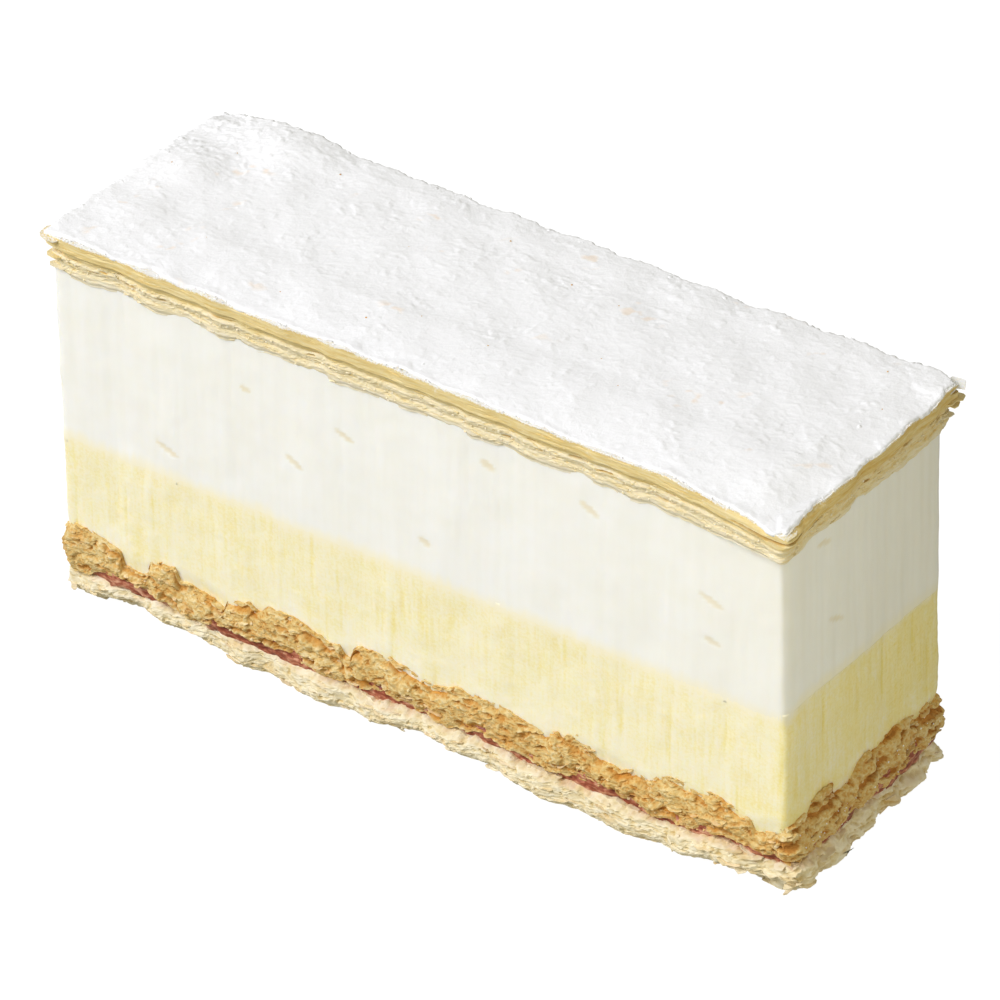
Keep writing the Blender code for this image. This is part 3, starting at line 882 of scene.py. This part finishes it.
def build_lid(random):
    skin = Skin("top_pastry", 0.24, 54)
    p = skin.points
    powder_top = (scan.at(scan.border[len(LAYERS)], skin.place)
                  - POWDER_EDGE * (1.0 - 0.4 * skin.near("right")[0]))
    shown = np.clip(skin.near("front") + skin.near("right"), 0.0, 1.0)[0]
    skin.high = skin.high + shown * (powder_top - skin.high)
    skin.low = skin.low - 0.3 - 0.5 * fractal(p[0], 3.4, 3, 91)
    skin.place_points()
    p = skin.points
    upper = step(0.5, 0.58, skin.share + 0.06 * waves(p, (6.0, 6.0, 40.0), 92))
    fringe = 1.0 - step(0.12, 0.22, skin.share + 0.08 * waves(p, (3.0, 3.0, 40.0), 93))
    torn_place = warp(p, (0.6, 0.6, 0.2), (1.6, 1.6, 0.8), 90)
    gaps = step(0.25, 0.4, waves(torn_place, (1.5, 1.5, 0.4), 99))
    flaky = (0.05 * (walls(torn_place, (1.2, 1.2, 0.4), 94) - 0.5) - 0.12 * gaps
             + 0.08 * (walls(torn_place, (0.9, 0.9, 0.5), 95) - 0.5)
             + 0.08 * fractal(torn_place, (0.7, 0.7, 0.5), 2, 98)
             + 0.1 * fractal(p, (4.0, 4.0, 2.0), 2, 97))
    dense = (0.04 * fractal(p, (9.0, 9.0, 0.26), 2, 100)
             + 0.04 * fractal(p, (1.2, 1.2, 0.4), 2, 88)
             - 0.1 * step(0.36, 0.5, waves(p, (5.0, 5.0, 0.26), 89)))
    smooth_fringe = 0.1 * fractal(p, (2.0, 2.0, 1.2), 2, 101) - 0.12
    push = upper * dense + (1.0 - upper) * ((1.0 - fringe) * flaky + fringe * smooth_fringe)
    dark = np.zeros_like(push)
    outline = p[len(p) // 2, :, :2]
    for _ in range(LID_SLITS):
        spot = outline[random.integers(skin.count)]
        dark = np.maximum(dark, slit(skin, push, spot, random.uniform(0.3, 0.58),
                                     random.uniform(1.0, 5.0), random.uniform(0.2, 0.5),
                                     random.uniform(0.3, 0.8), random.uniform(-0.05, 0.05)))
    dark = np.maximum(dark, slit(skin, push, LID_SPLIT, 0.76, 11.0, 0.55, 1.2, 0.03))
    for right, back, share, opening, depth, reach in LID_GAPS:
        height = skin.height_above(skin.low + share * (skin.high - skin.low))
        gap = skin.corner(right, back, reach) * step(0.0, 0.5, 1.0 - (2.0 * height / opening) ** 2)
        push -= depth * gap
        dark = np.maximum(dark, gap)
    skin.out = skin.out + push + NEAR_CORNER_GAIN * skin.corner(True, False, 4.5)
    skin.place_points()
    lines = fractal(p, (11.0, 11.0, 0.24), 2, 105)
    skin.attributes["gold"] = np.clip(upper + 0.3 * waves(p, (4.0, 4.0, 0.8), 102), 0.0, 1.0)
    # Tone: painted shade in the slits, the split corners and the torn gaps, and over the whole
    # right end; painted shade and highlight from the relief; a paler fringe and random tone.
    skin.attributes["tone"] = (0.56 + 0.08 * painted_relief_shade(push, 3.0, 0.2) - 0.35 * dark
                               - 0.12 * gaps * (1.0 - upper)
                               + 0.16 * fractal(p, (7.0, 7.0, 0.6), 2, 103) + 0.14 * lines * upper
                               + 0.2 * fringe - 0.16 * skin.near("right"))
    skin.attributes["dust"] = (1.1 * step(-0.5, 0.1, skin.height_above(skin.high))
                               + 0.3 * waves(p, (1.0, 1.0, 1.0), 104) - 0.15)
    finish_skin(skin, "Lid_leaves", lid_material(), "top_pastry", False)
    return skin


def build_sugar(lid):
    """The powder: a lumpy top with a feathered rim that hangs a little over the lid."""
    number = LAYERS.index("powdered_sugar")
    powder = scan.foot + scan.way * scan.reach[number][0][:, None]
    sides = {}
    for side, axis, sign, outline, way in (
            ("front", 1, -1, powder, scan.way), ("back", 1, 1, powder, scan.way),
            ("left", 0, -1, powder, scan.way), ("right", 0, 1, lid.points[-1], lid.way)):
        rows = outline[sign * way[:, axis] > 0.75]
        sides[side] = rows[np.argsort(rows[:, 1 - axis])]
    columns, rows = 480, 166
    u, v = np.meshgrid(np.linspace(0.0, 1.0, columns), np.linspace(0.0, 1.0, rows))
    low, high = (np.array(corner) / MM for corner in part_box("powdered_sugar"))
    rough_x = low[0] + (high[0] - low[0]) * u
    rough_y = low[1] + (high[1] - low[1]) * v
    left = np.interp(rough_y, sides["left"][:, 1], sides["left"][:, 0])
    right = np.interp(rough_y, sides["right"][:, 1], sides["right"][:, 0])
    front = np.interp(rough_x, sides["front"][:, 0], sides["front"][:, 1])
    back = np.interp(rough_x, sides["back"][:, 0], sides["back"][:, 1])
    x, y = left + (right - left) * u, front + (back - front) * v
    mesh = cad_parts["powdered_sugar"].data
    tree = BVHTree.FromPolygons([vertex.co / MM for vertex in mesh.vertices],
                                [list(face.vertices) for face in mesh.polygons])
    top = high[2] + 1.0
    height = np.zeros_like(x)
    for row in range(rows):
        for column in range(columns):
            place_x = min(max(x[row, column], low[0] + 1.0), high[0] - 1.0)
            place_y = min(max(y[row, column], low[1] + 1.0), high[1] - 1.0)
            hit = tree.ray_cast(Vector((place_x, place_y, top)), Vector((0.0, 0.0, -1.0)))
            height[row, column] = hit[0].z if hit[0] is not None else np.nan
    known = np.where(np.isnan(height), np.nanmean(height), height)
    wide = np.pad(known, 12, mode="edge")
    height = soften(soften(wide, 7.0), 7.0, 1)[12:-12, 12:-12]
    p = np.stack([x, y, height], -1)
    edge = np.minimum(np.minimum(u, 1.0 - u) * (high[0] - low[0]),
                      np.minimum(v, 1.0 - v) * (high[1] - low[1]))
    flat_place = p * (1, 1, 0)
    lid_rim = lid.points[-1]
    rims = KDTree(len(lid_rim))
    for number, (rim_x, rim_y, _) in enumerate(lid_rim):
        rims.insert((rim_x, rim_y, 0.0), number)
    rims.balance()
    floor = np.array([lid_rim[rims.find((spot_x, spot_y, 0.0))[1], 2]
                      for spot_x, spot_y, _ in flat_place.reshape(-1, 3)]).reshape(x.shape)
    lumps = fractal(flat_place, 2.0, 3, 111)
    clods = step(0.05, 0.5, fractal(warp(flat_place, 0.6, 1.2, 118), 1.6, 2, 112))
    grain = waves(warp(flat_place, 0.3, 0.6, 119), 0.62, 113)
    rough = 0.5 + 0.4 * step(0.0, 0.5, fractal(flat_place, 7.0, 2, 120)) + 0.8 * (
        1.0 - step(4.0, 22.0, np.hypot(x + 60.0, y - 18.0)))
    height = np.maximum(height, floor + 0.2 - 1.2 * step(1.5, 14.0, edge))
    height = height + 0.04 * lumps + rough * (0.13 * clods + 0.09 * grain)
    for heap_x, heap_y, reach, gain in SUGAR_HEAPS:
        height = height + gain * (1.0 - step(0.0, reach, np.hypot(x - heap_x, y - heap_y)))
    feather = 0.1 + 0.1 * fractal(flat_place, 1.2, 2, 117)
    height = floor - 0.12 + (height - floor + 0.12) * step(feather - 0.1, feather + 0.2, edge)
    drawn = NEAR_CORNER_GAIN * (1.0 - step(1.0, 5.0, np.hypot(x - x.max(), y - y.min())))
    ragged = 0.28 * fractal(flat_place, 1.0, 3, 114)
    middle_x, middle_y = 0.5 * (low[0] + high[0]), 0.5 * (low[1] + high[1])
    x = x + ragged * step(0.96, 1.0, np.abs(2.0 * u - 1.0)) * np.sign(x - middle_x)
    y = y + ragged * step(0.9, 1.0, np.abs(2.0 * v - 1.0)) * np.sign(y - middle_y) - drawn
    top_points = np.stack([x, y, height], -1)
    rim_index = np.concatenate([
        np.arange(columns), np.arange(1, rows) * columns + columns - 1,
        np.arange(columns - 2, -1, -1) + (rows - 1) * columns,
        np.arange(rows - 2, 0, -1) * columns])
    flat = top_points.reshape(-1, 3)
    rim = flat[rim_index]
    floor = floor.ravel()[rim_index]
    inward = np.stack([middle_x - rim[:, 0], middle_y - rim[:, 1]], -1)
    inward = np.sign(inward) * np.minimum(np.abs(inward), 1.0)
    skirt = [np.concatenate([rim[:, :2] + 0.2 * inward, (floor - 0.35)[:, None]], -1),
             np.concatenate([rim[:, :2] + 1.0 * inward, (floor - 0.6)[:, None]], -1),
             np.concatenate([rim[:, :2] + 4.0 * inward, 0.0 * floor[:, None] + floor.min() - 0.6],
                            -1)]
    points = np.concatenate([flat] + skirt)
    faces = grid_faces(rows, columns, False)
    rings = [rim_index] + [len(flat) + n * len(rim) + np.arange(len(rim)) for n in range(3)]
    for upper, lower in zip(rings, rings[1:]):
        next_upper, next_lower = np.roll(upper, -1), np.roll(lower, -1)
        faces += np.stack([lower, next_lower, next_upper, upper], -1).tolist()
    faces.append(rings[-1][::-1].tolist())
    # Painted shade in the powder's hollows and along the left part of its front rim, and painted
    # highlight on its lumps.
    painted_hollow_and_rim_shade = painted_relief_shade(height, 6.0, 0.5) - 1.2 * step(0.8, 1.0, 1.0 - v) * step(10.0, -30.0, x)
    peach = step(0.3, 0.6, waves(flat_place, 6.0, 115)) * step(
        0.1, 0.5, fractal(flat_place, 2.0, 2, 116))
    pad = np.zeros(3 * len(rim))
    attributes = {"tone": np.concatenate([(0.62 + 0.3 * painted_hollow_and_rim_shade).ravel(), pad + 0.6]),
                  "peach": np.concatenate([0.7 * peach.ravel(), pad])}
    make_object("Sugar_blanket", inside_box(points), faces, sugar_material(0.25),
                ["powdered_sugar"], attributes)
    return top_points


# ------------------------------------------------------------------------- crumbs, flakes, grains

def icosahedron():
    """The points, one unit from the middle, and faces of a twenty-sided ball."""
    golden = 0.5 * (1.0 + math.sqrt(5.0))
    points = [np.roll((0.0, a, b * golden), turn) for turn in range(3)
              for a in (-1.0, 1.0) for b in (-1.0, 1.0)]
    points = np.array(points) / math.hypot(1.0, golden)
    faces = []
    side = 2.0 / math.hypot(1.0, golden) + 0.01
    for trio in itertools.combinations(range(12), 3):
        a, b, c = points[list(trio)]
        if max(np.linalg.norm(a - b), np.linalg.norm(b - c), np.linalg.norm(c - a)) < side:
            turned = np.dot(np.cross(b - a, c - a), a) < 0.0
            faces.append(trio[::-1] if turned else trio)
    return points, np.array(faces)


BALL, BALL_FACES = icosahedron()
FLAKE_LENGTHS, FLAKE_WIDTHS = 6, 3


def flake_faces():
    """Faces of a thin plate: a grid above, the same grid below, and the edge between."""
    n, m = FLAKE_LENGTHS, FLAKE_WIDTHS
    index = np.arange(n * m).reshape(n, m)
    upper = np.stack([index[:-1, :-1], index[1:, :-1], index[1:, 1:], index[:-1, 1:]],
                     -1).reshape(-1, 4)
    edge = np.concatenate([index[:, 0], index[-1, 1:], index[:-1, -1][::-1], index[0, 1:-1][::-1]])
    after = np.roll(edge, -1)
    side = np.stack([after, edge, edge + n * m, after + n * m], -1)
    return np.concatenate([upper, (upper + n * m)[:, ::-1], side])


class Bits:
    """Many small closed shapes that are joined into one piece."""

    def __init__(self):
        self.points, self.faces, self.attributes, self.count = [], [], {}, 0

    def add(self, points, faces, **attributes):
        self.points.append(points)
        self.faces += (faces + self.count).tolist()
        self.count += len(points)
        for key, value in attributes.items():
            self.attributes.setdefault(key, []).append(np.full(len(points), value))

    def ball(self, random, spot, size, flat=1.0, **attributes):
        """A crumb or clod: a twenty-sided ball with its corners pulled in and out."""
        points = BALL * random.uniform(0.65, 1.1, (12, 1)) @ any_turn(random)
        self.add(spot + size * points * (1.0, 1.0, flat), BALL_FACES, **attributes)

    def flake(self, random, spot, along, out, length, width, thickness, lift, **attributes):
        """A thin torn plate that lies along the side, sticks out of it and bends up or down."""
        t = np.linspace(-1.0, 1.0, FLAKE_LENGTHS)[:, None]
        v = np.linspace(-1.0, 1.0, FLAKE_WIDTHS)[None]
        reach = np.sqrt(1.1 - t ** 6) * random.uniform(0.6, 1.1, (FLAKE_LENGTHS, 1))
        flat = (0.5 * length * t * (1.0 + 0.0 * v))[..., None] * along
        flat = flat + (0.5 * width * v * reach)[..., None] * out
        bend = lift * (0.5 * v + 0.5) ** 2 * reach + random.uniform(-0.15, 0.15) * length * t
        bend = bend + random.normal(0.0, 0.25 * thickness, t.shape)
        flat = spot + flat + bend[..., None] * (0.0, 0.0, 1.0)
        half = 0.5 * thickness * (1.0 - 0.6 * np.abs(v)) * (0.4 + 0.6 * reach)
        half = half[..., None] * (0.0, 0.0, 1.0)
        self.add(np.concatenate([(flat + half).reshape(-1, 3), (flat - half).reshape(-1, 3)]),
                 FLAKE_FACES, **attributes)

    def finish(self, name, material, slot, smooth=False):
        points = inside_box(np.concatenate(self.points))
        attributes = {key: np.concatenate(parts) for key, parts in self.attributes.items()}
        make_object(name, points, self.faces, material, (), attributes, smooth)


FLAKE_FACES = flake_faces()


def any_turn(random):
    """A rotation matrix with any direction as likely as any other."""
    turned, _ = np.linalg.qr(random.normal(size=(3, 3)))
    return turned if np.linalg.det(turned) > 0.0 else -turned


def side_frame(skin, column):
    """The ways along and out of a skin's side at one of its columns."""
    out = np.array([*skin.way[column], 0.0])
    return np.array([-out[1], out[0], 0.0]), out


def scatter_crust_bits(random):
    """Crumbs and torn flakes that stand out of the browned crust."""
    bits = Bits()
    rows = len(crumb.points)
    for _ in range(CRUST_FLAKES):
        column, row = random.integers(crumb.count), int(rows * random.uniform(0.05, 0.97))
        along, out = side_frame(crumb, column)
        tone = random.uniform(0.45, 0.9)
        bits.flake(random, crumb.points[row, column], along, out, random.uniform(0.7, 2.4),
                   random.uniform(0.4, 0.9), random.uniform(0.1, 0.2),
                   random.uniform(-0.25, 0.2), tone=tone, toasted=random.uniform(0.0, 0.5))
    for _ in range(CRUST_CRUMBS):
        column, row = random.integers(crumb.count), int(rows * random.uniform(0.02, 0.99))
        bits.ball(random, crumb.points[row, column], random.uniform(0.15, 0.42),
                  random.uniform(0.5, 1.0), tone=random.uniform(0.4, 0.95),
                  toasted=random.uniform(0.0, 0.4))
    bits.finish("Crust_crumbs", crumb_material(), "middle_pastry")


def scatter_base_bits(random):
    """Pale flakes and crumbs along the base's torn side."""
    bits = Bits()
    rows = len(base.points)
    for _ in range(BASE_FLAKES):
        column, row = random.integers(base.count), int(rows * random.uniform(0.1, 0.99))
        along, out = side_frame(base, column)
        bits.flake(random, base.points[row, column], along, out, random.uniform(0.8, 3.0),
                   random.uniform(0.4, 1.0), random.uniform(0.1, 0.22),
                   random.uniform(-0.2, 0.2), tone=random.uniform(0.5, 0.9),
                   toasted=random.uniform(0.0, 0.3), stain=random.uniform(0.0, 0.1))
    at_corner = np.flatnonzero(base.corner(True, False, 16.0)[rows // 2] > 0.0)
    for _ in range(CORNER_FLAKES):
        column, row = random.choice(at_corner), int(rows * random.uniform(0.2, 0.98))
        along, out = side_frame(base, column)
        bits.flake(random, base.points[row, column] - 0.3 * out, along, out,
                   random.uniform(1.5, 4.5), random.uniform(1.2, 2.4), random.uniform(0.2, 0.4),
                   random.uniform(-0.3, 0.3), tone=random.uniform(0.4, 0.8), toasted=0.1, stain=0.0)
    for _ in range(BASE_CRUMBS):
        column, row = random.integers(base.count), int(rows * random.uniform(0.02, 0.99))
        bits.ball(random, base.points[row, column], random.uniform(0.15, 0.4),
                  random.uniform(0.5, 1.0), tone=random.uniform(0.5, 0.9), toasted=0.1, stain=0.0)
    bits.finish("Base_flakes", base_material(), "base_pastry")


def scatter_lid_bits(random):
    """Torn leaves on the lid's side, and the split sheets at its corners."""
    bits = Bits()
    rows = len(lid.points)
    for _ in range(LID_FLAKES):
        column, share = random.integers(lid.count), random.uniform(0.04, 0.6)
        along, out = side_frame(lid, column)
        bits.flake(random, lid.points[int(rows * share), column] - 0.1 * out, along, out,
                   random.uniform(0.5, 1.8), random.uniform(0.3, 0.6), random.uniform(0.08, 0.16),
                   random.uniform(-0.1, 0.08), tone=random.uniform(0.5, 0.85),
                   gold=float(share > 0.48), dust=0.0)
    for _ in range(LID_CRUMBS):
        column, row = random.integers(lid.count), int(rows * random.uniform(0.1, 0.5))
        bits.ball(random, lid.points[row, column], random.uniform(0.1, 0.26), 0.7,
                  tone=random.uniform(0.5, 0.9), gold=0.0, dust=0.0)
    low, high = lid.points[..., :2].min((0, 1)), lid.points[..., :2].max((0, 1))
    for right, back, share, length, width, lift, dust in LID_SHEETS:
        corner = np.array((high[0] if right else low[0], high[1] if back else low[1]))
        column = np.argmin(np.hypot(*(lid.points[rows // 2, :, :2] - corner).T))
        along, out = side_frame(lid, column)
        spot = lid.points[int(rows * share), column] - 0.3 * length * out
        bits.flake(random, spot, out, along, length, width, 0.4, lift,
                   tone=random.uniform(0.45, 0.7), gold=float(share > 0.3), dust=dust)
    bits.finish("Lid_flakes", lid_material(), "top_pastry")


def scatter_sugar_bits(random):
    """Clods on the powder, grains along its rim and in the crust's right end."""
    bits = Bits()
    rows, columns = sugar.shape[:2]
    for _ in range(SUGAR_CLODS):
        size = 0.14 + 0.4 * random.random() ** 4
        spot = sugar[random.integers(4, rows - 4), random.integers(4, columns - 4)]
        bits.ball(random, spot - (0.0, 0.0, 0.15 * size), size, random.uniform(0.4, 0.7),
                  tone=random.uniform(0.7, 1.0), peach=0.0)
    for _ in range(RIM_CLODS):
        size, inset = random.uniform(0.2, 0.75), random.integers(1, 8)
        at_back = random.random() < 0.75
        spot = (sugar[-inset, random.integers(4, columns - 4)] if at_back
                else sugar[random.integers(4, rows - 4), inset])
        bits.ball(random, spot - (0.0, 0.0, 0.45 * size), size, random.uniform(0.5, 0.8),
                  tone=random.uniform(0.7, 1.0), peach=0.0)
    near_rim = np.flatnonzero((lid.way[:, 1] < -0.5) | (lid.way[:, 0] > 0.5))
    for _ in range(SUGAR_GRAINS):
        column = random.choice(near_rim)
        _, out = side_frame(lid, column)
        spot = lid.points[-1, column] - random.uniform(0.0, 0.8) * out
        bits.ball(random, spot + (0.0, 0.0, random.uniform(-0.1, 0.1)),
                  random.uniform(0.08, 0.22), random.uniform(0.4, 0.8),
                  tone=random.uniform(0.6, 0.8), peach=0.05)
    at_right = np.flatnonzero(crumb.way[:, 0] > 0.9)
    for _ in range(SUGAR_STRAY):
        column, row = random.choice(at_right), random.integers(2, 40)
        bits.ball(random, crumb.points[row, column], random.uniform(0.06, 0.18), 1.0,
                  tone=0.6, peach=0.1)
    bits.finish("Sugar_clods", sugar_material(0.0), "powdered_sugar", True)


def scatter_specks(random):
    """Tiny browned crumbs that fell on the powder."""
    bits = Bits()
    rows, columns = sugar.shape[:2]
    for _ in range(SUGAR_SPECKS):
        spot = sugar[random.integers(8, rows - 8), random.integers(8, columns - 8)]
        bits.ball(random, spot, random.uniform(0.08, 0.2), 0.8, tone=random.uniform(0.1, 0.6),
                  toasted=0.3)
    bits.finish("Crumbs_on_sugar", crumb_material(), "middle_pastry")


random = np.random.default_rng(7)
base = build_base()
jam = build_jam()
crumb = build_crumb()
custard = build_custard()
cream = build_cream(random)
lid = build_lid(random)
sugar = build_sugar(lid)
scatter_crust_bits(random)
scatter_base_bits(random)
scatter_lid_bits(random)
scatter_sugar_bits(random)
scatter_specks(random)


# ----------------------------------------------------------------------- stage, light and camera

def make_stage():
    """A plain white floor that rises into a round wall far behind the slice."""
    rings = [(0.0, 0.0), (0.5, 0.0), (1.5, 0.0), (2.2, 0.0), (2.45, 0.05), (2.6, 0.2),
             (2.65, 0.6), (2.65, 3.0)]
    sides = 64
    points, faces = [], []
    for radius, height in rings[1:]:
        for n in range(sides):
            angle = 2.0 * math.pi * n / sides
            points.append((radius * math.cos(angle), radius * math.sin(angle), height))
    for ring in range(len(rings) - 2):
        for n in range(sides):
            m = (n + 1) % sides
            first, second = ring * sides, (ring + 1) * sides
            faces.append((first + n, second + n, second + m, first + m))
    faces.append(list(range(sides)))
    mesh = bpy.data.meshes.new("Floor")
    mesh.from_pydata(points, [], faces)
    floor = bpy.data.objects.new("Floor", mesh)
    bpy.context.scene.collection.objects.link(floor)
    g = Graph("white_floor")
    shade = g.noise((400.0, 400.0, 400.0), 1.0)
    colour = g.remap(shade, 0.3, 0.7, 0.15, 0.16)
    g.put(g.shader.inputs["Emission Color"], (1.0, 1.0, 1.0, 1.0))
    g.shader.inputs["Emission Strength"].default_value = 0.96
    mesh.materials.append(g.finish(colour, 0.9, 0.0))
    floor.visible_diffuse = floor.visible_glossy = floor.visible_shadow = False


def aim(thing, target):
    way = Vector(target) * MM - thing.location
    thing.rotation_mode = "QUATERNION"
    thing.rotation_quaternion = way.to_track_quat("-Z", "Y")


def make_light(name, place, size, power, colour):
    lamp = bpy.data.lights.new(name, "AREA")
    lamp.shape = "DISK"
    lamp.size = size
    lamp.energy = power
    lamp.color = colour
    light = bpy.data.objects.new(name, lamp)
    light.location = place
    light.visible_camera = False
    bpy.context.scene.collection.objects.link(light)
    aim(light, CAMERA_TARGET)


def make_camera():
    azimuth, elevation = math.radians(CAMERA_AZIMUTH), math.radians(CAMERA_ELEVATION)
    way = (math.sin(azimuth) * math.cos(elevation), -math.cos(azimuth) * math.cos(elevation),
           math.sin(elevation))
    lens = bpy.data.cameras.new("Camera")
    lens.lens = CAMERA_LENS
    lens.sensor_width = CAMERA_SENSOR
    lens.clip_start, lens.clip_end = 0.01, 20.0
    camera = bpy.data.objects.new("Camera", lens)
    camera.location = [(target + CAMERA_DISTANCE * part) * MM
                       for target, part in zip(CAMERA_TARGET, way)]
    bpy.context.scene.collection.objects.link(camera)
    aim(camera, CAMERA_TARGET)
    bpy.context.scene.camera = camera


def make_world():
    world = bpy.data.worlds.new("Studio")
    world.use_nodes = True
    background = world.node_tree.nodes["Background"]
    background.inputs["Color"].default_value = (1.0, 0.98, 0.85, 1.0)
    background.inputs["Strength"].default_value = 0.385
    bpy.context.scene.world = world


make_stage()
make_world()
make_camera()
make_light("Key", (-0.6, -0.95, 0.975), 0.9, 22.1, (0.9, 0.905, 0.97))
make_light("Fill", (0.15, -0.05, 0.055), 0.08, 0.028, (1.0, 0.97, 0.81))
bpy.context.scene.view_settings.view_transform = "Standard"
